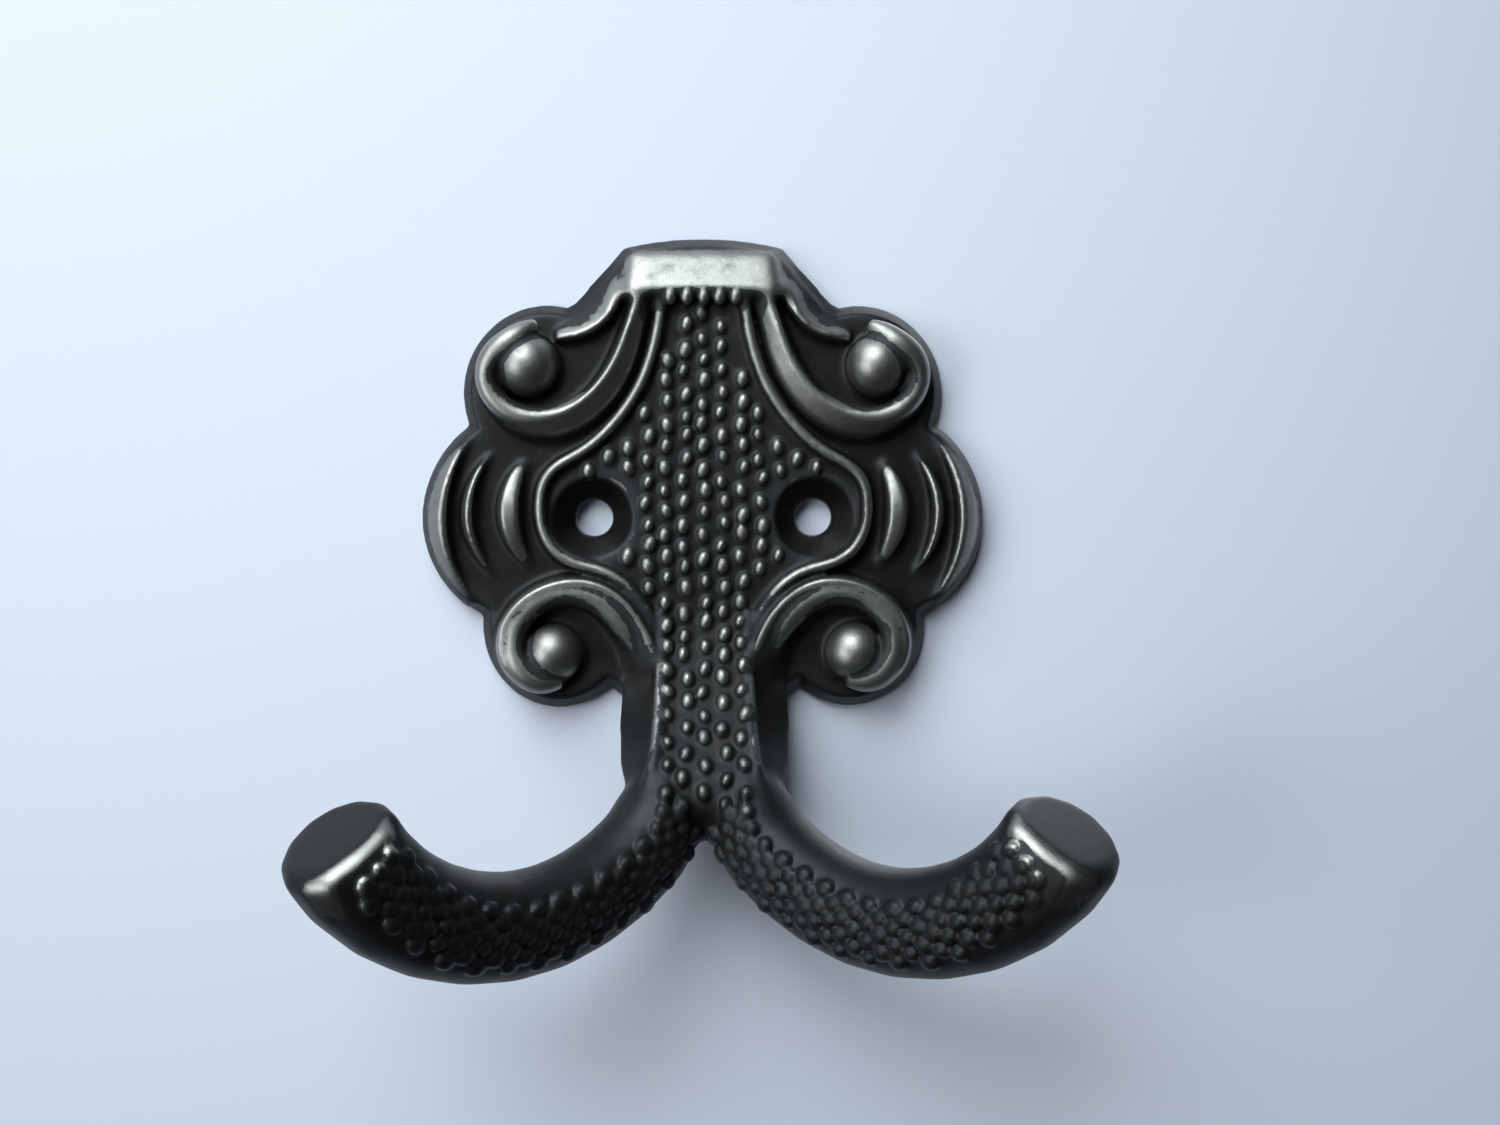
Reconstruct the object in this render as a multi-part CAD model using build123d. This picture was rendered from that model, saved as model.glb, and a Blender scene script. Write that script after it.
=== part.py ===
from build123d import *
import math
import os

# Cast coat hook: a carved back plate, a stem and two prongs, in millimetres.
# The casting is drawn lying on its back: x to the right, y up the wall and z off
# the wall. The last step stands it up, so that +Z is up and the wall is at y = 0.
# The origin is midway between the two screw holes, on the wall.

# Screw holes
screw_spacing = 25.3
screw_hole_diameter = 4.2
countersink_diameter = 9.3

# Back plate
plate_thickness = 2.6
plate_draft_height = 2.1
plate_draft_run = 1.3
plate_half_width = 32.5
fan_arc_top = 10.7
fan_arc_foot = -11.3
plate_top = 32.2
plate_bottom = -22.4
crown_half_width = 9.2
notch_inset = 17.5
notch_y = 24.1

# Crown bevel
bevel_low_y = 25.4
bevel_high_y = 30.0
bevel_low_height = 5.4
bevel_high_height = 3.4
bevel_half_width = 8.4
bevel_foot_spread = 3.2

# Sunk field and the bead round it
field_height = 3.8
bead_reach = 1.15
bead_height = 4.8

# Scrolls
crest_width = 0.4
upper_scroll_height = 5.6
lower_scroll_height = 5.6
upper_eye = (plate_half_width - 12.6, 17.3)
upper_eye_radius = 3.4
upper_eye_height = 6.6
lower_eye = (plate_half_width - 15.2, -15.5)
lower_eye_radius = 3.0
lower_eye_height = 6.0
eye_sides = 12

# Lip that runs down the slanting edge from the crown
lip_height = 4.5
lip_reach = 4.2
lip_foot = 0.9

# Fans beside the screws
fan_height = 4.7
fan_end_share = 0.45

# Stem
stem_half_width = 9.8
stem_front_half_width = 5.0

# Prongs
prong_root_width = 10.2
prong_start_share = 0.6
prong_tip_width = 12.0
prong_flat_share = 0.64
prong_crown_share = 0.87
prong_sides = 10
prong_steps = 11
prong_end_bevel = 0.9
prong_end_lean = 0.25
prong_root_x = 4.2
prong_root_height = 9.8
prong_spread = 34.9
prong_drop = 41.7
prong_tip_drop = 30.0
prong_projection = 32.5

# Features start this far above the wall, inside the plate
root_height = 1.0


def plate_outline():
    """The lobed outline of the back plate, as one closed face."""
    crown_corner = (crown_half_width, plate_top - 1.1)
    rim = plate_half_width
    notch = (rim - notch_inset, notch_y)
    fan_top = (rim - 5.4, fan_arc_top)
    fan_foot = (rim - 6.8, fan_arc_foot)
    lobe_foot = (rim - 21.5, plate_bottom + 2.7)
    stem_foot = (stem_half_width - 2.2, plate_bottom)
    upper_lobe = ThreePointArc(notch, (rim - 12.9, 24.4), (rim - 8.3, 22.2))
    lower_lobe = ThreePointArc(fan_foot, (rim - 7.5, -16.4), (rim - 10.1, -20.0))
    right = [
        Line(crown_corner, notch),
        upper_lobe,
        TangentArc(upper_lobe @ 1, fan_top, tangent=upper_lobe % 1),
        ThreePointArc(fan_top, (rim, -0.3), fan_foot),
        lower_lobe,
        TangentArc(lower_lobe @ 1, lobe_foot, tangent=lower_lobe % 1),
        Line(lobe_foot, stem_foot),
    ]
    left = [mirror(edge, Plane.YZ) for edge in right]
    top = ThreePointArc(crown_corner, (0, plate_top), (-crown_half_width, plate_top - 1.1))
    foot = Line(stem_foot, (-stem_foot[0], plate_bottom))
    return make_face([*right, *left, top, foot])


def back_plate():
    """The plate itself, with the drafted edge of a casting."""
    plate = extrude(plate_outline(), plate_thickness)
    front = plate.faces().sort_by(Axis.Z)[-1]
    return chamfer(front.edges(), length=plate_draft_height, length2=plate_draft_run)


def crown_bevel():
    """The sloping bright face across the top of the plate."""
    foot = Wire.make_polygon([
        (-bevel_half_width - bevel_foot_spread, bevel_low_y - 1.2, root_height),
        (bevel_half_width + bevel_foot_spread, bevel_low_y - 1.2, root_height),
        (bevel_half_width + 0.3, bevel_high_y + 1.0, root_height),
        (-bevel_half_width - 0.3, bevel_high_y + 1.0, root_height),
    ])
    face = Wire.make_polygon([
        (-bevel_half_width, bevel_low_y, bevel_low_height),
        (bevel_half_width, bevel_low_y, bevel_low_height),
        (bevel_half_width - 0.4, bevel_high_y, bevel_high_height),
        (0.4 - bevel_half_width, bevel_high_y, bevel_high_height),
    ])
    return Solid.make_loft([foot, face], ruled=True)


def ridge_section(place, along, profile):
    """One cross-section of a ridge, from corners of (reach to the left, height)."""
    across = Vector(-along.Y, along.X, 0).normalized()
    return Wire.make_polygon([place + across * side + Vector(0, 0, height) for side, height in profile])


def ridge_profile(inner, outer, crest, inner_bulge, outer_bulge, half_crest=crest_width / 2):
    """The corners of a ridge: two flanks with a narrow crest between. A bulge is the
    share of the height that a flank has reached half way up, or None for a plain one."""
    rise = crest - root_height
    profile = [(inner, root_height)]
    if inner_bulge:
        profile.append(((inner + half_crest) / 2, root_height + rise * inner_bulge))
    profile += [(half_crest, crest), (-half_crest, crest)]
    if outer_bulge:
        profile.append((-(outer + half_crest) / 2, root_height + rise * outer_bulge))
    profile.append((-outer, root_height))
    return profile


def ridge(stations, outer_bulge=None):
    """A ridge lofted along a curve through stations of (x, y, inner reach, outer reach,
    crest height, inner bulge). The inner side is to the left of the way they run."""
    path = Edge.make_spline([(x, y, 0) for x, y, *_ in stations])
    sections = []
    for x, y, inner, outer, crest, inner_bulge in stations:
        place = Vector(x, y, 0)
        along = path.tangent_at(path.param_at_point(place))
        profile = ridge_profile(inner, outer, crest, inner_bulge, outer_bulge)
        sections.append(ridge_section(place, along, profile))
    return Solid.make_loft(sections)


def polar(centre, angle, radius):
    """The point at an angle and radius about a centre."""
    turn = math.radians(angle)
    return (centre[0] + radius * math.cos(turn), centre[1] + radius * math.sin(turn))


def scroll(eye, height, turns, outer_bulge):
    """A scroll band about its eye, from turns of
    (angle, radius, inner reach, outer reach, share of the height, inner bulge)."""
    rise = height - root_height
    stations = [
        (*polar(eye, angle, radius), inner, outer, root_height + rise * share, inner_bulge)
        for angle, radius, inner, outer, share, inner_bulge in turns
    ]
    return ridge(stations, outer_bulge)


def upper_scroll():
    """The band that leaves the crown bevel and winds under and round the upper eye."""
    turns = [
        (145, 15.4, 1.6, 2.6, 0.93, 0.3),
        (156, 12.8, 1.9, 3.1, 0.97, 0.3),
        (173, 10.3, 2.2, 3.6, 1.0, 0.3),
        (193, 8.5, 2.0, 4.0, 1.0, 0.3),
        (214, 7.3, 1.6, 4.1, 1.0, 0.35),
        (238, 6.5, 1.3, 3.9, 1.0, 0.4),
        (263, 6.0, 1.1, 3.4, 1.0, 0.45),
        (290, 5.6, 1.0, 2.6, 1.0, 0.5),
        (317, 5.3, 1.0, 1.8, 1.0, 0.55),
        (345, 5.0, 1.2, 1.3, 0.98, 0.65),
        (374, 4.6, 1.5, 1.1, 0.94, 0.75),
        (404, 3.8, 1.6, 1.0, 0.9, 0.8),
    ]
    return scroll(upper_eye, upper_scroll_height, turns, 0.74)


def lower_scroll():
    """The band that leaves the side of the stem and winds over the lower eye."""
    turns = [
        (-66, 4.0, 1.9, 1.2, 0.8, 0.85),
        (-37, 4.9, 2.4, 1.3, 0.88, 0.86),
        (-8, 5.6, 2.6, 1.3, 0.94, 0.88),
        (20, 6.2, 2.6, 1.3, 0.97, 0.9),
        (46, 6.7, 2.4, 1.3, 1.0, 0.9),
        (71, 7.3, 2.6, 1.3, 1.0, 0.86),
        (93, 8.1, 3.4, 1.3, 1.0, 0.76),
        (114, 9.1, 4.4, 1.3, 1.0, 0.68),
        (134, 9.9, 5.4, 1.3, 1.0, 0.62),
        (155, 10.6, 6.0, 1.3, 1.0, 0.58),
        (174, 11.4, 6.2, 1.3, 1.0, 0.55),
        (190, 12.4, 5.6, 1.2, 1.0, 0.55),
    ]
    return scroll(lower_eye, lower_scroll_height, turns, None)


def crown_lip():
    """The raised lip along the slanting edge, from the crown to the upper scroll."""
    crest = [
        (7.6, 28.6, 0.5), (9.0, 26.3, 0.84), (10.2, 23.7, 1.0),
        (11.9, 21.8, 1.0), (14.3, 20.7, 0.94), (16.8, 20.4, 0.76),
    ]
    stations = []
    for x, y, share in crest:
        height = root_height + (lip_height - root_height) * share
        stations.append((x, y, lip_reach * share, lip_foot, height, None))
    return ridge(stations)


def eye_dome(eye, radius, height):
    """The domed eye of a scroll, as rings of flat facets that close on its top."""
    rings = [
        (radius, root_height),
        (radius, height - radius * 0.72),
        (radius * 0.82, height - radius * 0.34),
        (radius * 0.42, height),
    ]
    wires = []
    for ring_radius, ring_height in rings:
        corners = [polar(eye, 360 * index / eye_sides, ring_radius) for index in range(eye_sides)]
        wires.append(Wire.make_polygon([(x, y, ring_height) for x, y in corners]))
    return Solid.make_loft(wires, ruled=True)


def fan_rib(foot, middle, top, inner, outer, half_crest):
    """One rib of a fan, an arc that fades at both ends."""
    path = Edge.make_three_point_arc((*foot, 0), (*middle, 0), (*top, 0))
    sections = []
    for share in (0, 0.2, 0.5, 0.8, 1):
        swell = fan_end_share + (1 - fan_end_share) * math.sin(math.pi * share)
        crest = root_height + (fan_height - root_height) * swell
        profile = ridge_profile(inner * swell, outer * swell, crest, None, 0.66, half_crest * swell)
        sections.append(ridge_section(path.position_at(share), path.tangent_at(share), profile))
    return Solid.make_loft(sections)


def fan():
    """The three ribs beside a screw hole."""
    rim = plate_half_width
    return [
        fan_rib((rim - 6.2, -9.6), (rim - 2.9, -0.2), (rim - 6.1, 9.3), 0.9, 3.0, 0.3),
        fan_rib((rim - 8.5, -6.6), (rim - 5.8, 0.4), (rim - 8.4, 7.5), 0.9, 1.5, 0.3),
        fan_rib((rim - 12.6, -5.5), (rim - 10.4, 0.5), (rim - 12.2, 6.6), 1.8, 1.9, 0.9),
    ]


bead_points = [
    (4.6, 26.0), (4.9, 22.5), (5.7, 18.8), (7.0, 15.2), (9.0, 12.0), (11.6, 9.1), (14.0, 7.3),
    (16.6, 6.0), (18.2, 4.2), (18.7, 1.5), (18.4, -1.4), (17.0, -3.9), (14.6, -5.3), (11.4, -6.0),
    (9.0, -7.5), (7.0, -9.8), (5.7, -12.3), (4.9, -15.5), (4.8, -19.5),
]


def bead():
    """The thin raised line round the sunk field."""
    stations = [(x, y, bead_reach, bead_reach, bead_height, None) for x, y in bead_points]
    return ridge(stations)


def field():
    """The sunk field that carries the pebbles, out to the middle of the bead."""
    side = Spline(*bead_points)
    top = Line(bead_points[0], (-bead_points[0][0], bead_points[0][1]))
    foot = Line(bead_points[-1], (-bead_points[-1][0], bead_points[-1][1]))
    outline = make_face([side, mirror(side, Plane.YZ), top, foot])
    return extrude(outline, field_height)


def stem():
    """The stem, which leaves the plate and comes away from the wall towards the prongs."""
    stations = [
        (-8.0, 3.2, 0.5, 1.2, 0.75),
        (-14.0, 4.5, 0.0, 1.0, 0.84),
        (-19.0, 6.4, 0.0, 0.97, 0.97),
        (-23.5, 9.3, 0.4, 1.0, 1.0),
        (-28.0, 12.7, 3.6, 1.08, 0.97),
        (-31.5, 13.7, 6.0, 0.8, 0.86),
        (-35.0, 12.2, 9.2, 0.4, 0.4),
    ]
    sections = []
    for y, front, back, front_share, side_share in stations:
        flat = stem_front_half_width * front_share
        side = stem_half_width * side_share
        waist = back + (front - back) * 0.42
        outline = [
            (flat, y, front),
            (side, y, waist),
            (side * 0.86, y, back),
            (-side * 0.86, y, back),
            (-side, y, waist),
            (-flat, y, front),
        ]
        sections.append(Wire.make_polygon(outline))
    return Solid.make_loft(sections, ruled=True)


def prong_section(place, along, front, width):
    """A round section, drawn with many sides, with a broad and barely crowned front."""
    side = along.cross(front)
    radius = width / 2
    half_flat = math.asin(prong_flat_share)
    step = (2 * math.pi - 2 * half_flat) / prong_sides
    corners = [place + front * (radius * prong_crown_share)]
    for index in range(prong_sides + 1):
        turn = half_flat + step * index
        corners.append(place + side * (radius * math.sin(turn)) + front * (radius * math.cos(turn)))
    return Wire.make_polygon(corners)


def prong_plane():
    """The leaning plane that the middle line of the right prong bends in."""
    rise = prong_projection - prong_root_height
    run = prong_spread - prong_root_x
    lean = math.atan2(rise, run)
    return Plane(origin=(prong_root_x, 0, prong_root_height),
                 x_dir=(math.cos(lean), 0, math.sin(lean)),
                 z_dir=(-math.sin(lean), 0, math.cos(lean)))


def prong_route(plane):
    """The middle line of the right prong, from inside the stem to its tip."""
    reach = plane.to_local_coords(Vector(prong_spread, 0, prong_projection)).X
    points = [
        (0, prong_drop * -0.66),
        (reach * 0.03, prong_drop * -0.806),
        (reach * 0.17, prong_drop * -0.918),
        (reach * 0.45, -prong_drop),
        (reach * 0.73, (prong_drop * 0.83 + prong_tip_drop * 0.17) * -1),
        (reach, -prong_tip_drop),
    ]
    return Edge.make_spline([plane.from_local_coords(Vector(u, v, 0)) for u, v in points])


def prong():
    """The right prong, which swings down, out and forward and swells to its tip."""
    plane = prong_plane()
    route = prong_route(plane)
    sections = []
    for index in range(prong_steps + 1):
        share = index / prong_steps
        width = prong_root_width + (prong_tip_width - prong_root_width) * share ** 1.5
        if share == 0:
            width *= prong_start_share
        along = route.tangent_at(share)
        front = plane.z_dir
        if share == 1:
            along = (along + Vector(0, 0, prong_end_lean)).normalized()
            front = (front - along * front.dot(along)).normalized()
        sections.append(prong_section(route.position_at(share), along, front, width))
    rod = Solid.make_loft(sections, ruled=True)
    end = rod.faces().sort_by_distance(route.position_at(1))[0]
    return rod.chamfer(prong_end_bevel, None, end.edges())


def screw_tool(x):
    """What a screw hole takes away: the bore and its countersink."""
    through = plate_thickness * 8
    bore = Cylinder(screw_hole_diameter / 2, through)
    sink_depth = (countersink_diameter - screw_hole_diameter) / 2
    cone = Cone(screw_hole_diameter / 2, countersink_diameter / 2, sink_depth,
                align=(Align.CENTER, Align.CENTER, Align.MIN))
    clear = Cylinder(countersink_diameter / 2, field_height, align=(Align.CENTER, Align.CENTER, Align.MIN))
    sink_floor = field_height - sink_depth
    return Pos(x, 0, 0) * (bore + Pos(0, 0, sink_floor) * cone + Pos(0, 0, field_height) * clear)


def coat_hook():
    """The whole casting, stood up against the wall."""
    right = [
        upper_scroll(),
        lower_scroll(),
        crown_lip(),
        eye_dome(upper_eye, upper_eye_radius, upper_eye_height),
        eye_dome(lower_eye, lower_eye_radius, lower_eye_height),
        *fan(),
        bead(),
        prong(),
    ]
    left = [mirror(shape, Plane.YZ) for shape in right]
    body = back_plate().fuse(crown_bevel(), field(), stem(), *right, *left)
    body = body.cut(screw_tool(screw_spacing / 2), screw_tool(-screw_spacing / 2))
    return Rot(90, 0, 0) * body


os.makedirs("parts", exist_ok=True)
export_step(coat_hook(), "parts/coat_hook.step")
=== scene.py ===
"""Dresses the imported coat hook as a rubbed, black-patinated casting lying on white paper."""

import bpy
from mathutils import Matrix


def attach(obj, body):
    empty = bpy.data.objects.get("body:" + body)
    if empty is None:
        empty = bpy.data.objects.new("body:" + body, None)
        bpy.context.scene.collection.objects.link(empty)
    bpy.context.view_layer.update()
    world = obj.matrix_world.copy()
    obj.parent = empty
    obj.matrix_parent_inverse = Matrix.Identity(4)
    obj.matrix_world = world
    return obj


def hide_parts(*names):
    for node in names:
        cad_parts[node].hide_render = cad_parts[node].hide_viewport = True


bl_info = {
    "name": "Cast coat hook",
    "version": (1, 0, 0),
    "blender": (4, 5, 0),
    "location": "3D View > Sidebar > Coat hook",
    "description": "Builds the pebbled, patinated casting of a double coat hook on its frame",
    "category": "Add Mesh",
}

import math
import random

import bpy
import numpy as np
from mathutils import Matrix, Vector
from mathutils.bvhtree import BVHTree

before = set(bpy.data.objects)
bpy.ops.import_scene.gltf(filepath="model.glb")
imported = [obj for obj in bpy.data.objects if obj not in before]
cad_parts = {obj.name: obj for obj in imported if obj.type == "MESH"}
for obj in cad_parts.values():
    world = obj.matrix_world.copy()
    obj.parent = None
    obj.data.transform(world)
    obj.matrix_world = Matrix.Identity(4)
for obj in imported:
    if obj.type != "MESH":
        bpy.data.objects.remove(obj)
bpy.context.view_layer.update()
MM = 0.001
FRONT = Vector((0, -1, 0))
UP = Vector((0, 0, 1))


# Helpers


def linear(code):
    """An sRGB hex colour as linear red, green and blue."""
    values = [int(code[start:start + 2], 16) / 255 for start in (0, 2, 4)]
    return [v / 12.92 if v <= 0.04045 else ((v + 0.055) / 1.055) ** 2.4 for v in values]


def deselect():
    """Leaves nothing selected, so that an operator acts only on what is chosen next."""
    bpy.ops.object.select_all(action="DESELECT")


def choose(*objects):
    """Selects these objects only. The first is the active one."""
    deselect()
    for thing in objects:
        thing.select_set(True)
    bpy.context.view_layer.objects.active = objects[0]


def apply_modifier(thing, kind, **settings):
    """Adds a modifier with these settings and applies it."""
    choose(thing)
    modifier = thing.modifiers.new(kind.title(), kind)
    for name, value in settings.items():
        setattr(modifier, name, value)
    bpy.ops.object.modifier_apply(modifier=modifier.name)


def add_node(tree, kind, settings=None, sockets=None):
    """Adds a node with its settings. A socket takes a value, or the output that feeds it."""
    node = tree.nodes.new(kind)
    for name, value in (settings or {}).items():
        setattr(node, name, value)
    for name, value in (sockets or {}).items():
        if isinstance(value, bpy.types.NodeSocket):
            tree.links.new(value, node.inputs[name])
        else:
            node.inputs[name].default_value = value
    return node


# Sizes and colours


class CastingSizes(bpy.types.PropertyGroup):
    """Sizes of the pebbles, and of the grid that draws the casting's skin"""

    pebble_length: bpy.props.FloatProperty(
        name="Pebble length", description="Length of a field pebble, up the plate",
        default=2.15 * MM, unit="LENGTH")
    pebble_width: bpy.props.FloatProperty(
        name="Pebble width", description="Width of a field pebble, across the plate",
        default=1.55 * MM, unit="LENGTH")
    pebble_rise: bpy.props.FloatProperty(
        name="Pebble rise", description="How far a pebble stands above the field",
        default=0.8 * MM, unit="LENGTH")
    pebble_pitch: bpy.props.FloatProperty(
        name="Pebble pitch", description="Distance between columns of pebbles",
        default=2.15 * MM, unit="LENGTH")
    pebble_row: bpy.props.FloatProperty(
        name="Pebble row step", description="Distance between rows of pebbles",
        default=1.25 * MM, unit="LENGTH")
    prong_pebble: bpy.props.FloatProperty(
        name="Prong pebble", description="Size of the rounder pebbles on the prongs",
        default=2.15 * MM, unit="LENGTH")
    prong_pitch: bpy.props.FloatProperty(
        name="Prong pebble pitch", description="Distance between the pebbles on the prongs",
        default=1.8 * MM, unit="LENGTH")
    skin_step: bpy.props.FloatProperty(
        name="Skin step", description="Grid size that the casting's skin is drawn with",
        default=0.2 * MM, unit="LENGTH")


class FinishColours(bpy.types.PropertyGroup):
    """Colours of the iron, its patina and the paper"""

    patina: bpy.props.FloatVectorProperty(
        name="Patina", description="Black patina in the recesses",
        subtype="COLOR", size=3, default=linear("0d0e0e"))
    body: bpy.props.FloatVectorProperty(
        name="Body", description="Darkened iron on the smooth faces",
        subtype="COLOR", size=3, default=linear("2b2d2d"))
    worn: bpy.props.FloatVectorProperty(
        name="Worn", description="Grey iron where the patina has just gone",
        subtype="COLOR", size=3, default=linear("787b77"))
    burnished: bpy.props.FloatVectorProperty(
        name="Burnished", description="Iron rubbed bright on the crests",
        subtype="COLOR", size=3, default=linear("979892"))
    rust: bpy.props.FloatVectorProperty(
        name="Rust", description="Brown stain left in the hollows",
        subtype="COLOR", size=3, default=linear("28221d"))
    paper: bpy.props.FloatVectorProperty(
        name="Paper", description="The white paper under the hook",
        subtype="COLOR", size=3, default=linear("dfe6f1"))


class StageSizes(bpy.types.PropertyGroup):
    """Sizes of the paper, and the camera's lens and distance"""

    camera_distance: bpy.props.FloatProperty(
        name="Camera distance", description="From the wall plane to the camera",
        default=167.96 * MM, unit="LENGTH")
    lens: bpy.props.FloatProperty(
        name="Lens", description="Focal length in millimetres on a 36 mm sensor", default=34.51)
    paper_width: bpy.props.FloatProperty(
        name="Paper width", description="Width of the sheet of paper",
        default=700 * MM, unit="LENGTH")
    paper_height: bpy.props.FloatProperty(
        name="Paper height", description="Height of the sheet of paper",
        default=520 * MM, unit="LENGTH")


# Places and lengths on the casting are in millimetres in the frame's own axes. Up is the
# distance above the screw holes, and a height is the distance off the wall.

HOLE_X = 12.65

# The ends of a prong's middle line as (x, height), and how far it hangs below the holes
PRONG_ROOT = (4.2, 9.8)
PRONG_TIP = (34.9, 32.5)
PRONG_DROP = 41.7
PRONG_TIP_DROP = 30.0
PRONG_FLAT_HALF = 3.5
# Knots down that line, as shares of its reach, of its drop and of its tip's drop
PRONG_KNOTS = [
    (0.0, 0.66, 0.0), (0.03, 0.806, 0.0), (0.17, 0.918, 0.0),
    (0.45, 1.0, 0.0), (0.73, 0.83, 0.17), (1.0, 0.0, 1.0),
]
# The way a prong runs, seen from above: out to its side, and forward off the wall
PRONG_OUT = 0.80
PRONG_FORWARD = 0.59

# The eyes of the scrolls as (x, up), and the domes that round them as (height, radius)
UPPER_EYE = (19.9, 17.3)
LOWER_EYE = (17.3, -15.5)
UPPER_DOME = (3.3, 3.6)
LOWER_DOME = (2.9, 3.4)
DOME_BACK = 1.0
# Scroll bands, as (angle round the eye in degrees, distance from it, height, radius)
UPPER_TURNS = [
    (205, 7.5, 4.4, 0.5), (228, 6.9, 4.4, 0.9), (252, 6.3, 4.4, 1.2), (276, 5.95, 4.3, 1.35),
    (300, 5.6, 4.3, 1.35), (325, 5.2, 4.2, 1.4), (350, 4.7, 4.3, 1.45), (375, 3.9, 4.6, 1.6),
    (400, 3.2, 4.8, 1.7), (425, 3.2, 4.7, 1.6), (447, 3.9, 4.3, 1.25), (463, 4.8, 3.9, 0.7),
]
LOWER_TURNS = [
    (-105, 2.6, 3.6, 1.5), (-80, 3.0, 3.8, 1.7), (-50, 3.5, 4.0, 1.9), (-20, 3.9, 4.1, 1.9),
    (10, 4.5, 4.2, 1.6), (40, 5.4, 4.3, 1.4), (71, 6.2, 4.2, 1.45), (93, 7.0, 4.0, 1.6),
    (114, 7.8, 3.9, 1.75), (134, 8.4, 3.8, 1.85), (155, 8.9, 3.7, 1.8), (172, 9.6, 3.5, 1.4),
    (186, 11.0, 3.2, 0.9),
]
# The bead round the field, as (x, up)
BEAD = [
    (4.6, 25.6), (4.9, 22.5), (5.7, 18.8), (7.0, 15.2), (9.0, 12.0), (11.6, 9.1), (14.0, 7.3),
    (16.6, 6.0), (18.2, 4.2), (18.7, 1.5), (18.4, -1.4), (17.0, -3.9), (14.6, -5.3), (11.4, -6.0),
    (9.0, -7.5), (7.0, -9.8), (5.7, -12.3), (4.9, -15.5),
]
BEAD_HEIGHT = 4.2
BEAD_RADIUS = 0.68
# The web between the prongs and the raised edge of the stem, as (x, up, height, radius)
CROTCH = [(0.3, -28.0, 9.5, 2.6), (0.3, -30.5, 10.2, 2.7), (0.3, -32.6, 10.6, 2.3)]
STEM_EDGE = [
    (5.0, -10.5, 3.9, 0.6), (4.9, -14.5, 4.4, 0.75), (4.95, -19.0, 6.1, 0.8),
    (5.1, -23.5, 9.0, 0.8), (5.5, -27.0, 11.5, 0.8), (6.4, -30.0, 13.0, 0.7),
    (8.2, -32.6, 13.9, 0.6), (10.6, -34.6, 15.2, 0.45),
]

# Where the sunk field and the front of the stem carry pebbles
FIELD_TOP = 23.0
FIELD_FOOT = -31
FIELD_HEIGHT = 3.8
FIELD_UNEVEN = 0.14
FIELD_FACING = 0.6
FIELD_MARGIN = 0.7
STEM_TOP = -8
STEM_HALF = 4.6
STEM_LOWEST = 3.7
RAY_START = -0.1
# The pebbles that scallop the crown's lower edge, each as (length, width, whole height)
CROWN_PITCH = 1.85
CROWN_STRAY = 0.1
CROWN_HEIGHT = 4.7
CROWN_UP = 25.0
CROWN_PEBBLE = (2.3, 1.6, 1.5)
# How far pebbles stray from their rows in millimetres, turn in radians and vary in size
FIELD_STRAY = 0.3
FIELD_STRAY_UP = 0.32
FIELD_TURN = 0.35
FIELD_SPREAD = (0.82, 1.1)
PRONG_STRAY = 0.12
PRONG_TURN = 0.5
PRONG_SPREAD = (0.85, 1.1)
# A pebble's whole height, half of it sunk, over the rise
FIELD_DEPTH = 2
PRONG_DEPTH = 1.6
# The pebbled part of a prong: its ends, its rows, how its flat widens and what it leaves bare
PRONG_START = 4.6
PRONG_STOP = 3.2
PRONG_ROW_SHARE = 0.86
PRONG_FLARE = (0.9, 0.2)
PRONG_BARE = 0.35
PRONG_RAY = 12
PRONG_FACING = 0.86
PRONG_PEBBLE_SHAPE = (1.05, 0.92)
PEBBLE_SEED = 11
FEWEST_PEBBLES = 150

# Softening: rounds of smoothing, what is swollen back, and the fades as (start, end)
BASE_STEP_SHARE = 1.25
BASE_ROUNDS = 6
PRONG_ROUNDS = 120
CROWN_ROUNDS = 90
SKIN_ROUNDS = 3
SWELL_BACK = 0.2
PRONG_SOFT = (27, 31)
PRONG_END = (42, 44)
PRONG_END_SHARE = 0.4
CROWN_FOOT = (23, 25.5)
CROWN_LIFT = (2.2, 2.8)
CROWN_SIDE = (9.5, 12)
CROWN_SIDE_SHARE = 0.6
MOST_TRIANGLES = 190000

# Relief, as the attribute, the rounds that find the skin's level and those that settle it
RELIEF_SCALES = (("relief_fine", 12, 2), ("relief_broad", 110, 6))
SHORTEST_EDGE = 0.02
WEAR_ROUNDS = 3
# Wear, as the (start, end) of each fade in millimetres, or of how far a face turns that way
RIM_HEIGHT = (2.4, 3.3)
RIM_TURN = (0.3, 0.7)
BACK_TURN = (0.05, 0.4)
HOLE_RIM = (4.45, 4.75)
STEM_SIDE_DOWN = (19, 22)
STEM_SIDE_OUT = (5.9, 6.6)
PRONG_DULLED = (16, 31)
# The prongs are darkened towards the patina's black, more the lower they hang, as are the
# countersinks, the plate's rim and the lower stem sides
PRONG_DARKENING = (22, 32)
END_REACH = (42.3, 43.3)
END_TURN = (0.35, 0.55)
END_FLAT = (0.82, 0.93)
# The bright front edge of a prong's end is kept to its upper part: a painted highlight
END_HIGHLIGHT_UP = (-38, -33)
LIP_FROM = (8, 9.5)
LIP_TO = (15.5, 17.5)
LIP_UP = (20.5, 21.5)
LIP_HEIGHT = (2.7, 3.3)
# How strong each is, from 0 to 1
PRONG_DULLED_SHARE = 0.45
PRONG_DARKENING_SHARE = 0.5
RIM_AND_SIDE_DARKENING_SHARE = 0.7
LIP_SHARE = 0.7


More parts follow.
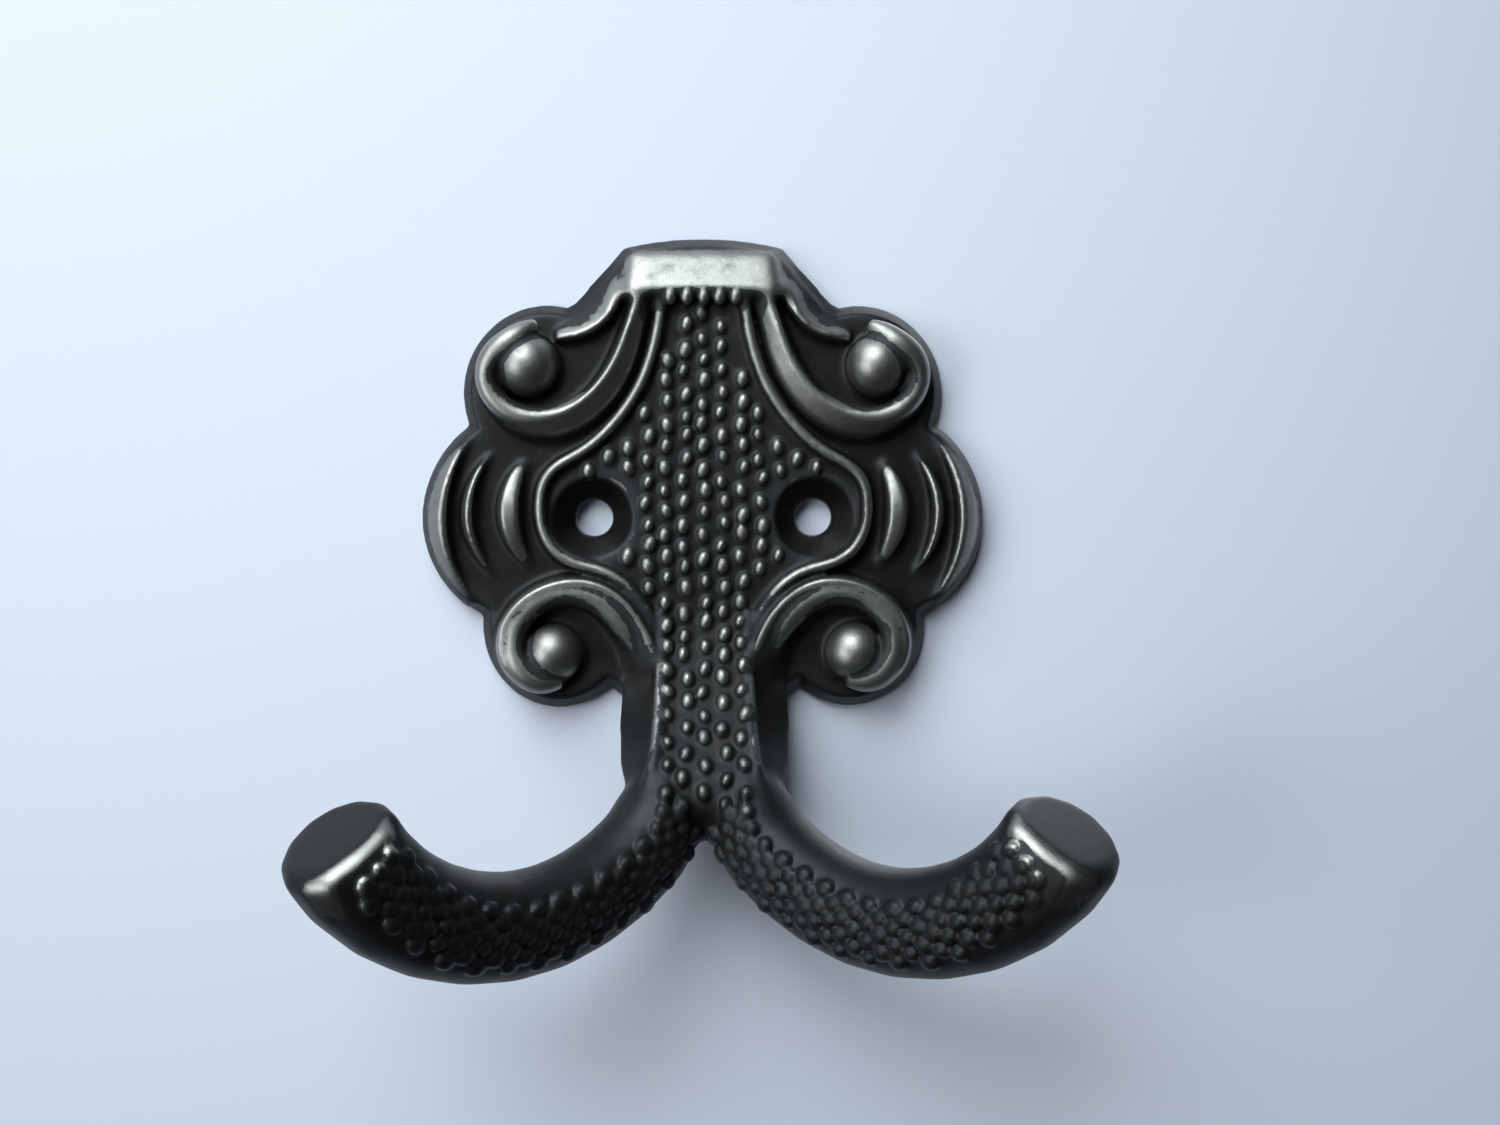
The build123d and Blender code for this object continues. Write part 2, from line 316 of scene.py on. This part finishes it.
def prong_line(steps=400):
    """Points down the middle of the right prong, in metres, and the way its flat faces."""
    run = Vector((PRONG_TIP[0] - PRONG_ROOT[0], PRONG_TIP[1] - PRONG_ROOT[1]))
    lean = math.atan2(run.y, run.x)
    knots = np.array([(along * run.length, -drop * PRONG_DROP - tip_drop * PRONG_TIP_DROP)
                      for along, drop, tip_drop in PRONG_KNOTS])
    knots = np.vstack([2 * knots[0] - knots[1], knots, 2 * knots[-1] - knots[-2]])
    flat = []
    for step in range(steps + 1):
        place = step / steps * (len(knots) - 3)
        index = min(int(place), len(knots) - 4)
        t = place - index
        a, b, c, d = knots[index:index + 4]
        flat.append(0.5 * (2 * b + (c - a) * t + (2 * a - 5 * b + 4 * c - d) * t ** 2
                           + (3 * b - a - 3 * c + d) * t ** 3))
    points = [Vector((PRONG_ROOT[0] + along * math.cos(lean),
                      -PRONG_ROOT[1] - along * math.sin(lean), up)) * MM for along, up in flat]
    return points, Vector((-math.sin(lean), -math.cos(lean), 0))


def prong_reach(x, y):
    """How far a place lies out along a prong, in millimetres, with x taken to the right."""
    return x * PRONG_OUT - y * PRONG_FORWARD


# The casting


def solid_copy(name):
    """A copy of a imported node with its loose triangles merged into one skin."""
    copy = bpy.data.objects.new("casting", bpy.data.objects[name].data.copy())
    bpy.context.scene.collection.objects.link(copy)
    choose(copy)
    bpy.ops.object.mode_set(mode="EDIT")
    bpy.ops.mesh.select_all(action="SELECT")
    bpy.ops.mesh.remove_doubles(threshold=0.001 * MM)
    bpy.ops.object.mode_set(mode="OBJECT")
    return copy


def swollen(stations):
    """A round form with a changing radius through stations of (x, up, height, radius) in
    millimetres, and its mirror image across the hook, as one object."""
    curve = bpy.data.curves.new("swell", "CURVE")
    curve.dimensions = "3D"
    curve.bevel_depth = MM
    curve.bevel_resolution = 4
    curve.use_fill_caps = True
    for side in (1, -1):
        spline = curve.splines.new("NURBS")
        spline.points.add(len(stations) - 1)
        for point, (x, up, height, radius) in zip(spline.points, stations):
            point.co = (side * x * MM, -height * MM, up * MM, 1)
            point.radius = radius
        spline.order_u = 3
        spline.use_endpoint_u = True
        spline.resolution_u = 6
    swell = bpy.data.objects.new("swell", curve)
    bpy.context.scene.collection.objects.link(swell)
    choose(swell)
    bpy.ops.object.convert(target="MESH")
    return bpy.context.active_object


def about(eye, turns):
    """Stations about an eye, from turns of (angle, distance, height, radius)."""
    return [(eye[0] + far * math.cos(math.radians(angle)),
             eye[1] + far * math.sin(math.radians(angle)), height, radius)
            for angle, far, height, radius in turns]


def dome(x, up, height, radius):
    """A round dome for the eye of a scroll, cut flat where it would come through the back."""
    deselect()
    bpy.ops.mesh.primitive_uv_sphere_add(segments=40, ring_count=20, radius=radius * MM,
                                         location=(x * MM, -height * MM, up * MM))
    bpy.ops.object.transform_apply(location=True, rotation=True, scale=True)
    eye = bpy.context.active_object
    for vertex in eye.data.vertices:
        vertex.co.y = min(vertex.co.y, -DOME_BACK * MM)
    return eye


def soft_forms():
    """Everything that rounds the carving: scroll bands, eyes, the bead and the stem's edges."""
    forms = [
        swollen(about(UPPER_EYE, UPPER_TURNS)),
        swollen(about(LOWER_EYE, LOWER_TURNS)),
        swollen([(x, up, BEAD_HEIGHT, BEAD_RADIUS) for x, up in BEAD]),
        swollen(STEM_EDGE),
        swollen(CROTCH),
    ]
    for side in (1, -1):
        for (x, up), (height, radius) in ((UPPER_EYE, UPPER_DOME), (LOWER_EYE, LOWER_DOME)):
            forms.append(dome(side * x, up, height, radius))
    return forms


def surface_of(thing):
    """A tree for finding where a line meets this mesh."""
    mesh = thing.data
    return BVHTree.FromPolygons([v.co.copy() for v in mesh.vertices],
                                [tuple(p.vertices) for p in mesh.polygons])


def front_hit(tree, x, z):
    """Where a line straight at the plate from the front meets the casting."""
    hit, normal, _, _ = tree.ray_cast(Vector((x, RAY_START, z)), -FRONT)
    return hit, normal


def is_field(tree, x, z):
    """True where the sunk field, or the front of the stem, carries a whole pebble."""
    margin = FIELD_MARGIN * MM
    heights = []
    for dx, dz in ((0, 0), (margin, 0), (-margin, 0), (0, margin), (0, -margin)):
        hit, normal = front_hit(tree, x + dx, z + dz)
        if hit is None:
            return False
        heights.append(-hit.y / MM)
        if normal.y > -FIELD_FACING:
            return False
    if z > STEM_TOP * MM:
        return all(abs(height - FIELD_HEIGHT) < FIELD_UNEVEN for height in heights)
    return abs(x) < STEM_HALF * MM and min(heights) > STEM_LOWEST


def placement(hit, normal, up, length, width, depth, turn):
    """The matrix that lays a unit pebble on the surface, its length along up."""
    out = normal.normalized()
    along = (up - out * up.dot(out)).normalized()
    across = along.cross(out)
    spin = Matrix.Rotation(turn, 3, out)
    along = spin @ along
    across = spin @ across
    basis = Matrix((across * width, along * length, out * depth)).transposed().to_4x4()
    return Matrix.Translation(hit) @ basis


def field_places(tree, sizes, chance):
    """Pebble placements: a row under the crown, then staggered rows down field and stem."""
    places = []
    length, width, depth = (size * MM for size in CROWN_PEBBLE)
    for column in range(-2, 3):
        x = column * CROWN_PITCH + chance.uniform(-CROWN_STRAY, CROWN_STRAY)
        spot = Vector((x, -CROWN_HEIGHT, CROWN_UP)) * MM
        places.append(placement(spot, FRONT, UP, length, width, depth, 0))
    row = 0
    z = FIELD_TOP * MM
    while z > FIELD_FOOT * MM:
        shift = sizes.pebble_pitch if row % 2 else 0
        for column in range(-5, 6):
            stray = chance.uniform(-FIELD_STRAY, FIELD_STRAY) * MM
            x = 2 * column * sizes.pebble_pitch + shift + stray
            spot = z + chance.uniform(-FIELD_STRAY_UP, FIELD_STRAY_UP) * MM
            if is_field(tree, x, spot):
                hit, normal = front_hit(tree, x, spot)
                size = chance.uniform(*FIELD_SPREAD)
                places.append(placement(
                    hit, normal, UP, sizes.pebble_length * size, sizes.pebble_width * size,
                    sizes.pebble_rise * FIELD_DEPTH, chance.uniform(-FIELD_TURN, FIELD_TURN)))
        z -= sizes.pebble_row
        row += 1
    return places


def prong_places(tree, sizes, chance, side):
    """Pebble placements along the flat of one prong. side is 1 for the right, -1 for the left."""
    points, facing = prong_line()
    points = [Vector((p.x * side, p.y, p.z)) for p in points]
    facing = Vector((facing.x * side, facing.y, 0))
    long, wide = PRONG_PEBBLE_SHAPE
    places = []
    walked = 0
    row = 0
    wanted = PRONG_START * MM
    total = sum((b - a).length for a, b in zip(points, points[1:]))
    for before, after in zip(points, points[1:]):
        walked += (after - before).length
        if walked < wanted or walked > total - PRONG_STOP * MM:
            continue
        wanted += sizes.prong_pitch * PRONG_ROW_SHARE
        row += 1
        along = (after - before).normalized()
        across = along.cross(facing).normalized()
        half = PRONG_FLAT_HALF * MM * (PRONG_FLARE[0] + PRONG_FLARE[1] * walked / total)
        shift = 0.5 if row % 2 else 0
        for column in range(-3, 4):
            stray = chance.uniform(-PRONG_STRAY, PRONG_STRAY) * MM
            offset = (column + shift) * sizes.prong_pitch + stray
            if abs(offset) > half - PRONG_BARE * MM:
                continue
            start = after + across * offset + facing * PRONG_RAY * MM
            hit, normal, _, _ = tree.ray_cast(start, -facing)
            if hit is None or normal.dot(facing) < PRONG_FACING:
                continue
            size = sizes.prong_pebble * chance.uniform(*PRONG_SPREAD)
            places.append(placement(
                hit, normal, along, size * long, size * wide,
                sizes.pebble_rise * PRONG_DEPTH, chance.uniform(-PRONG_TURN, PRONG_TURN)))
    return places


def spread_pebbles(places):
    """One pebble, modelled once and copied to every placement, as one object."""
    deselect()
    bpy.ops.mesh.primitive_uv_sphere_add(segments=10, ring_count=6, radius=0.5)
    pebble = bpy.context.active_object
    copies = []
    for matrix in places:
        copy = bpy.data.objects.new("pebble", pebble.data.copy())
        copy.data.transform(matrix)
        bpy.context.scene.collection.objects.link(copy)
        copies.append(copy)
    bpy.data.objects.remove(pebble)
    choose(*copies)
    bpy.ops.object.join()
    return bpy.context.active_object


def step_up(value, low, high):
    """0 below low, 1 above high and an even rise between."""
    return min(max((value - low) / (high - low), 0), 1)


def prong_strength(place):
    """Full on the plain length of the prongs, fading towards the stem and the crisp ends."""
    end = step_up(prong_reach(abs(place.x), place.y), *PRONG_END)
    return step_up(-place.z, *PRONG_SOFT) * (1 - PRONG_END_SHARE * end)


def crown_strength(place):
    """The crown, where it rounds over to the plate and runs into the scrolls."""
    side = step_up(abs(place.x), *CROWN_SIDE)
    return (step_up(place.z, *CROWN_FOOT) * step_up(-place.y, *CROWN_LIFT)
            * (1 - CROWN_SIDE_SHARE * side))


def soften(thing, name, strength, rounds):
    """Rubs a mesh smooth where strength, a function of a place in millimetres, isn't 0."""
    group = thing.vertex_groups.new(name=name)
    for vertex in thing.data.vertices:
        weight = strength(vertex.co / MM)
        if weight > 0:
            group.add([vertex.index], weight, "REPLACE")
    apply_modifier(thing, "SMOOTH", factor=0.5, iterations=rounds, vertex_group=name)
    apply_modifier(thing, "DISPLACE", strength=SWELL_BACK * MM, mid_level=0, vertex_group=name)
    thing.vertex_groups.clear()


# Wear


def mesh_arrays(mesh):
    """The mesh's points in millimetres, their normals, its edges and how hard each one pulls."""
    places = np.empty(len(mesh.vertices) * 3)
    mesh.vertices.foreach_get("co", places)
    places = places.reshape(-1, 3) / MM
    normals = np.empty(len(mesh.vertices) * 3)
    mesh.vertices.foreach_get("normal", normals)
    edges = np.empty(len(mesh.edges) * 2, dtype=np.int64)
    mesh.edges.foreach_get("vertices", edges)
    edges = edges.reshape(-1, 2)
    length = np.linalg.norm(places[edges[:, 0]] - places[edges[:, 1]], axis=1)
    return places, normals.reshape(-1, 3), edges, 1 / np.maximum(length, SHORTEST_EDGE)


def smoothed(values, edges, weight, rounds):
    """Rows of values averaged with their neighbours' over the mesh, this many times."""
    count = len(values)
    first, second = edges[:, 0], edges[:, 1]
    share = np.bincount(first, weight, count) + np.bincount(second, weight, count)
    result = values.copy()
    for _ in range(rounds):
        total = np.zeros_like(result)
        for axis in range(result.shape[1]):
            total[:, axis] = (np.bincount(first, weight * result[second, axis], count)
                              + np.bincount(second, weight * result[first, axis], count))
        result = 0.5 * result + 0.5 * total / share[:, None]
    return result


def ramp(values, low, high):
    """0 below low, 1 above high and an even rise between, for many values."""
    return np.clip((values - low) / (high - low), 0, 1)


def store(mesh, name, values, edges, weight, rounds):
    """Settles one number for each point of the mesh, and keeps it for the material to read."""
    settled = smoothed(values[:, None], edges, weight, rounds)[:, 0]
    layer = mesh.attributes.new(name, "FLOAT", "POINT")
    layer.data.foreach_set("value", settled.astype(np.float32))


def mark_relief(mesh, places, normals, edges, weight):
    """Stores how far each point stands above or below the skin round it, in millimetres, at a
    fine and at a broad scale. The patina reads both: crests are rubbed, hollows stay black."""
    for name, rounds, settling in RELIEF_SCALES:
        level = smoothed(places, edges, weight, rounds)
        relief = ((places - level) * normals).sum(axis=1)
        store(mesh, name, relief, edges, weight, settling)


def mark_wear(mesh, places, normals, edges, weight):
    """Stores, from 0 to 1, what is darkened towards the patina's black, which edges hands and
    clothes rub bright, partly a painted highlight on the upper front edge of each prong's end,
    and what stays dull because a cloth never reaches it."""
    x, y, z = np.abs(places[:, 0]), places[:, 1], places[:, 2]
    rim = (1 - ramp(-y, *RIM_HEIGHT)) * (1 - ramp(normals[:, 1], *RIM_TURN))
    hole = 1 - ramp(np.hypot(x - HOLE_X, z), *HOLE_RIM)
    side = ramp(-z, *STEM_SIDE_DOWN) * ramp(x, *STEM_SIDE_OUT)
    dulled = np.maximum.reduce([rim, hole, PRONG_DULLED_SHARE * ramp(-z, *PRONG_DULLED), side,
                                ramp(normals[:, 1], *BACK_TURN)])
    # Darkened towards the patina's black: the countersinks, the plate's rim, the lower stem sides
    # and the prongs, more the lower they hang
    darkening = np.maximum.reduce([hole, RIM_AND_SIDE_DARKENING_SHARE * rim,
                              PRONG_DARKENING_SHARE * ramp(-z, *PRONG_DARKENING),
                              RIM_AND_SIDE_DARKENING_SHARE * side])
    # The front edge of each prong's end, with a painted highlight kept to its upper part, and the
    # lips beside the crown
    facing = (-normals[:, 1] * PRONG_OUT
              - np.sign(places[:, 0]) * normals[:, 0] * PRONG_FORWARD)
    edge_wear_and_highlight = (ramp(prong_reach(x, y), *END_REACH) * ramp(facing, *END_TURN)
            * (1 - ramp(facing, *END_FLAT)) * ramp(z, *END_HIGHLIGHT_UP))
    lip = (ramp(x, *LIP_FROM) * (1 - ramp(x, *LIP_TO)) * ramp(z, *LIP_UP)
           * ramp(-y, *LIP_HEIGHT))
    edge_wear_and_highlight = np.maximum(edge_wear_and_highlight, LIP_SHARE * lip)
    for name, values in (("darkening", darkening * (1 - edge_wear_and_highlight)), ("edge_wear_and_highlight", edge_wear_and_highlight),
                         ("dulled", dulled * (1 - edge_wear_and_highlight))):
        store(mesh, name, values, edges, weight, WEAR_ROUNDS)


# Materials

MULTIPLY_ADD = {"operation": "MULTIPLY_ADD"}
EASED = {"interpolation_type": "SMOOTHSTEP"}
COLOUR_MIX = {"data_type": "RGBA"}

# Noise in repeats a metre: clouds every 3 mm, ragged edges every 2 mm, dents every 1.1 mm,
# specks every 0.4 mm, sand grain every 0.24 mm, and the paper's tooth every 0.7 mm
CLOUDS = {"Scale": 330.0, "Detail": 4.0, "Roughness": 0.6}
SPECKS = {"Scale": 2600.0, "Detail": 3.0, "Roughness": 0.7}
RAGGED = {"Scale": 480.0, "Detail": 10.0, "Roughness": 0.76}
GRAIN = {"Scale": 4200.0, "Detail": 2.0}
DENTS = {"Scale": 900.0, "Detail": 3.0}
TOOTH = {"Scale": 1500.0, "Detail": 2.0}
DENTS_OVER_GRAIN = 2.0
IRON_BUMP = {"Strength": 0.6, "Distance": 0.02 * MM}
PAPER_BUMP = {"Strength": 0.25, "Distance": 0.05 * MM}
PAPER_ROUGHNESS = 0.85

# The relief, in millimetres, over which each takes hold, and the same for wear and for clouds
CREST_RELIEF = (0.0, 0.05)
SWELL_RELIEF = (-0.05, 0.5)
HOLLOW_RELIEF = (-0.25, 0.06)
BARE_WEAR = (1.95, 2.1)
SHINE_WEAR = (1.95, 2.8)
STAIN_CLOUD = (0.5, 0.7)
# What each adds to the wear that the swells begin
CREST_WEAR = 0.5
RAGGED_WEAR = 2.4
DULLED_WEAR = -1.2
EDGE_WEAR_AND_HIGHLIGHT = 0.8
# The roughness of patinated iron, and what each adds to it
PATINA_ROUGHNESS = 0.5
SHINE_ROUGHNESS = -0.14
DARKENING_ROUGHNESS = -0.16
SPECK_ROUGHNESS = 0.14
PATINA_METAL = 0.45


def patinated_iron(colours):
    """Cast iron, blackened and then rubbed by hand. The crests and the swollen faces are rubbed
    to a soft grey shine, the hollows keep a dull black with a brown stain, and the skin keeps
    the fine grain of the mould."""
    material = bpy.data.materials.new("patinated_cast_iron")
    material.use_nodes = True
    tree = material.node_tree
    tree.nodes.clear()
    place = add_node(tree, "ShaderNodeTexCoord").outputs["Object"]
    fine, broad, dulled, edge_wear_and_highlight, darkening = (
        add_node(tree, "ShaderNodeAttribute", {"attribute_name": name}).outputs["Fac"]
        for name in ("relief_fine", "relief_broad", "dulled", "edge_wear_and_highlight", "darkening"))
    cloud, speck, ragged, grain, dents = (
        add_node(tree, "ShaderNodeTexNoise", None, {"Vector": place, **noise}).outputs["Fac"]
        for noise in (CLOUDS, SPECKS, RAGGED, GRAIN, DENTS))
    # How much the casting is rubbed, from the crests and the swells of its own relief
    crest, swell, hollow = (
        add_node(tree, "ShaderNodeMapRange", EASED,
                 {"Value": relief, "From Min": low, "From Max": high}).outputs["Result"]
        for relief, (low, high) in
        ((fine, CREST_RELIEF), (broad, SWELL_RELIEF), (broad, HOLLOW_RELIEF)))
    wear = swell
    # The front edges of the prong ends and the lips beside the crown add to the wear; on the
    # prong ends this is partly a painted highlight, kept to their upper part
    for source, share in ((crest, CREST_WEAR), (ragged, RAGGED_WEAR), (dulled, DULLED_WEAR),
                          (edge_wear_and_highlight, EDGE_WEAR_AND_HIGHLIGHT)):
        wear = add_node(tree, "ShaderNodeMath", MULTIPLY_ADD,
                        {0: source, 1: share, 2: wear}).outputs[0]
    # The patina gives way with a ragged edge, and the bare iron brightens slowly from there
    bare, shine = (
        add_node(tree, "ShaderNodeMapRange", EASED,
                 {"Value": wear, "From Min": low, "From Max": high}).outputs["Result"]
        for low, high in (BARE_WEAR, SHINE_WEAR))
    stain = add_node(tree, "ShaderNodeMapRange", None,
                     {"Value": cloud, "From Min": STAIN_CLOUD[0],
                      "From Max": STAIN_CLOUD[1]}).outputs["Result"]
    # Sockets 6 and 7 of a Mix node are its colours, and output 2 is their mix
    patina, rust, body, worn, burnished = (
        (*colour, 1) for colour in
        (colours.patina, colours.rust, colours.body, colours.worn, colours.burnished))
    dark = add_node(tree, "ShaderNodeMix", COLOUR_MIX, {0: stain, 6: patina, 7: rust}).outputs[2]
    cover = add_node(tree, "ShaderNodeMix", COLOUR_MIX, {0: hollow, 6: dark, 7: body}).outputs[2]
    iron = add_node(tree, "ShaderNodeMix", COLOUR_MIX,
                    {0: shine, 6: worn, 7: burnished}).outputs[2]
    rubbed = add_node(tree, "ShaderNodeMix", COLOUR_MIX, {0: bare, 6: cover, 7: iron}).outputs[2]
    # The darkened places are mixed towards the patina's black
    colour = add_node(tree, "ShaderNodeMix", COLOUR_MIX,
                      {0: darkening, 6: rubbed, 7: patina}).outputs[2]
    gloss = PATINA_ROUGHNESS
    for source, share in ((shine, SHINE_ROUGHNESS), (darkening, DARKENING_ROUGHNESS),
                          (speck, SPECK_ROUGHNESS)):
        gloss = add_node(tree, "ShaderNodeMath", MULTIPLY_ADD,
                         {0: source, 1: share, 2: gloss}).outputs[0]
    metal = add_node(tree, "ShaderNodeMapRange", None,
                     {"Value": bare, "To Min": PATINA_METAL, "To Max": 1.0}).outputs["Result"]
    skin = add_node(tree, "ShaderNodeMath", MULTIPLY_ADD,
                    {0: dents, 1: DENTS_OVER_GRAIN, 2: grain}).outputs[0]
    bump = add_node(tree, "ShaderNodeBump", None, {"Height": skin, **IRON_BUMP}).outputs["Normal"]
    shader = add_node(tree, "ShaderNodeBsdfPrincipled", None,
                      {"Base Color": colour, "Metallic": metal, "Roughness": gloss,
                       "Normal": bump})
    add_node(tree, "ShaderNodeOutputMaterial", None, {"Surface": shader.outputs[0]})
    return material


def paper_material(colours):
    """Smooth printer paper, near white and quite dull, with a faint tooth. It can't be seen
    from behind, so that the back of the hook shows."""
    material = bpy.data.materials.new("printer_paper")
    material.use_nodes = True
    tree = material.node_tree
    tree.nodes.clear()
    place = add_node(tree, "ShaderNodeTexCoord").outputs["Object"]
    tooth = add_node(tree, "ShaderNodeTexNoise", None, {"Vector": place, **TOOTH}).outputs["Fac"]
    bump = add_node(tree, "ShaderNodeBump", None,
                    {"Height": tooth, **PAPER_BUMP}).outputs["Normal"]
    paper = add_node(tree, "ShaderNodeBsdfPrincipled", None,
                     {"Base Color": (*colours.paper, 1), "Roughness": PAPER_ROUGHNESS,
                      "Normal": bump})
    clear = add_node(tree, "ShaderNodeBsdfTransparent")
    back = add_node(tree, "ShaderNodeNewGeometry").outputs["Backfacing"]
    shown = add_node(tree, "ShaderNodeMixShader", None,
                     {0: back, 1: paper.outputs[0], 2: clear.outputs[0]})
    add_node(tree, "ShaderNodeOutputMaterial", None, {"Surface": shown.outputs[0]})
    return material


class HOOK_OT_casting(bpy.types.Operator):
    """Builds the casting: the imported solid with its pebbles, soft cast edges and patina"""

    bl_idname = "hook.casting"
    bl_label = "Build the casting"

    def execute(self, context):
        sizes = context.scene.hook_sizes
        casting = solid_copy("coat_hook")
        choose(casting, *soft_forms())
        bpy.ops.object.join()
        apply_modifier(casting, "REMESH", mode="VOXEL",
                       voxel_size=BASE_STEP_SHARE * sizes.skin_step)
        apply_modifier(casting, "SMOOTH", factor=0.5, iterations=BASE_ROUNDS)
        soften(casting, "prongs", prong_strength, PRONG_ROUNDS)
        soften(casting, "crown", crown_strength, CROWN_ROUNDS)
        tree = surface_of(casting)
        chance = random.Random(PEBBLE_SEED)
        places = field_places(tree, sizes, chance)
        for side in (1, -1):
            places += prong_places(tree, sizes, chance, side)
        if len(places) < FEWEST_PEBBLES:
            raise RuntimeError("the pebbles found no field to lie on")
        choose(casting, spread_pebbles(places))
        bpy.ops.object.join()
        apply_modifier(casting, "REMESH", mode="VOXEL", voxel_size=sizes.skin_step)
        apply_modifier(casting, "SMOOTH", factor=0.5, iterations=SKIN_ROUNDS)
        # Nothing passes the wall plane that the plate's back lies on
        for vertex in casting.data.vertices:
            vertex.co.y = min(vertex.co.y, 0)
        share = MOST_TRIANGLES / (2 * len(casting.data.polygons))
        if share < 1:
            apply_modifier(casting, "DECIMATE", ratio=share)
        choose(casting)
        bpy.ops.object.shade_smooth()
        arrays = mesh_arrays(casting.data)
        mark_relief(casting.data, *arrays)
        mark_wear(casting.data, *arrays)
        casting.data.materials.clear()
        casting.data.materials.append(patinated_iron(context.scene.hook_colours))
        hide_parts("coat_hook")
        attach(casting, "root")
        return {"FINISHED"}


# The stage

# How far the paper lies behind the wall plane, in millimetres
PAPER_GAP = 0.3
# The camera's place across and up, in millimetres, and its pan, tilt and roll in degrees
CAMERA_ACROSS = 0.9
CAMERA_UP = 1.0
CAMERA_PAN = -1.51
CAMERA_TILT = -2.14
CAMERA_ROLL = -0.14
# Lamps, as the name, the place, the aim and the size in metres, the power in watts, the spread
# in degrees and the colour
LAMPS = [
    ("window", (-0.13, -0.22, 0.28), (-0.03, 0, 0.06), 0.34, 0.67, 90, "f0f8ff"),
    ("room", (-0.42, -0.30, -0.05), (-0.10, 0, -0.04), 0.4, 0.26, 55, "f4f8ff"),
    ("back_light", (0.15, 0.35, 0.25), (0, 0, 0), 0.3, 2.0, 180, "f4f8ff"),
]
ROOM_COLOUR = "dce4f0"
ROOM_STRENGTH = 0.03


def add_lamp(name, place, aim, size, power, spread, colour):
    """A soft square lamp that points at a place."""
    lamp = bpy.data.lights.new(name, "AREA")
    lamp.shape = "SQUARE"
    lamp.size = size
    lamp.energy = power
    lamp.spread = math.radians(spread)
    lamp.color = linear(colour)
    holder = bpy.data.objects.new(name, lamp)
    bpy.context.scene.collection.objects.link(holder)
    holder.location = place
    holder.rotation_euler = (Vector(aim) - Vector(place)).to_track_quat("-Z", "Y").to_euler()


class HOOK_OT_stage(bpy.types.Operator):
    """Sets the paper, the camera and the soft light of the photograph"""

    bl_idname = "hook.stage"
    bl_label = "Set the stage"

    def execute(self, context):
        sizes = context.scene.hook_stage
        deselect()
        bpy.ops.mesh.primitive_plane_add(size=1, location=(0, PAPER_GAP * MM, 0),
                                         rotation=(math.pi / 2, 0, 0))
        paper = context.active_object
        paper.name = "paper"
        paper.scale = (sizes.paper_width, sizes.paper_height, 1)
        bpy.ops.object.transform_apply(location=True, rotation=True, scale=True)
        paper.data.materials.append(paper_material(context.scene.hook_colours))
        # The lamp behind the paper reaches the back of the hook
        paper.visible_shadow = False

        camera = bpy.data.objects.new("camera", bpy.data.cameras.new("camera"))
        context.scene.collection.objects.link(camera)
        camera.data.lens = sizes.lens
        camera.data.sensor_width = 36
        camera.data.clip_start = 0.01
        place = (CAMERA_ACROSS * MM, -sizes.camera_distance, CAMERA_UP * MM)
        camera.matrix_world = Matrix.Translation(place) @ (
            Matrix.Rotation(math.radians(CAMERA_PAN), 4, "Z")
            @ Matrix.Rotation(math.radians(90 + CAMERA_TILT), 4, "X")
            @ Matrix.Rotation(math.radians(CAMERA_ROLL), 4, "Z"))
        context.scene.camera = camera

        for lamp in LAMPS:
            add_lamp(*lamp)
        world = context.scene.world or bpy.data.worlds.new("room")
        context.scene.world = world
        world.use_nodes = True
        backdrop = world.node_tree.nodes["Background"]
        backdrop.inputs["Color"].default_value = (*linear(ROOM_COLOUR), 1)
        backdrop.inputs["Strength"].default_value = ROOM_STRENGTH
        context.scene.view_settings.view_transform = "Standard"
        return {"FINISHED"}


class HOOK_PT_panel(bpy.types.Panel):
    """Lists the sizes, the colours and the steps that build the hook"""

    bl_idname = "HOOK_PT_panel"
    bl_label = "Coat hook"
    bl_space_type = "VIEW_3D"
    bl_region_type = "UI"
    bl_category = "Coat hook"

    def draw(self, context):
        scene = context.scene
        for group in (scene.hook_sizes, scene.hook_colours, scene.hook_stage):
            box = self.layout.box()
            for name in group.bl_rna.properties.keys():
                if name not in ("rna_type", "name"):
                    box.prop(group, name)
        self.layout.operator("hook.casting")
        self.layout.operator("hook.stage")


CLASSES = (CastingSizes, FinishColours, StageSizes, HOOK_OT_casting, HOOK_OT_stage, HOOK_PT_panel)


def register():
    """Adds the classes and the groups of settings."""
    for kind in CLASSES:
        bpy.utils.register_class(kind)
    bpy.types.Scene.hook_sizes = bpy.props.PointerProperty(type=CastingSizes)
    bpy.types.Scene.hook_colours = bpy.props.PointerProperty(type=FinishColours)
    bpy.types.Scene.hook_stage = bpy.props.PointerProperty(type=StageSizes)


def unregister():
    """Takes them away again."""
    del bpy.types.Scene.hook_stage
    del bpy.types.Scene.hook_colours
    del bpy.types.Scene.hook_sizes
    for kind in reversed(CLASSES):
        bpy.utils.unregister_class(kind)


def main():
    """Builds the hook and its stage."""
    register()
    bpy.ops.hook.stage()
    bpy.ops.hook.casting()


if __name__ == "__main__":
    main()
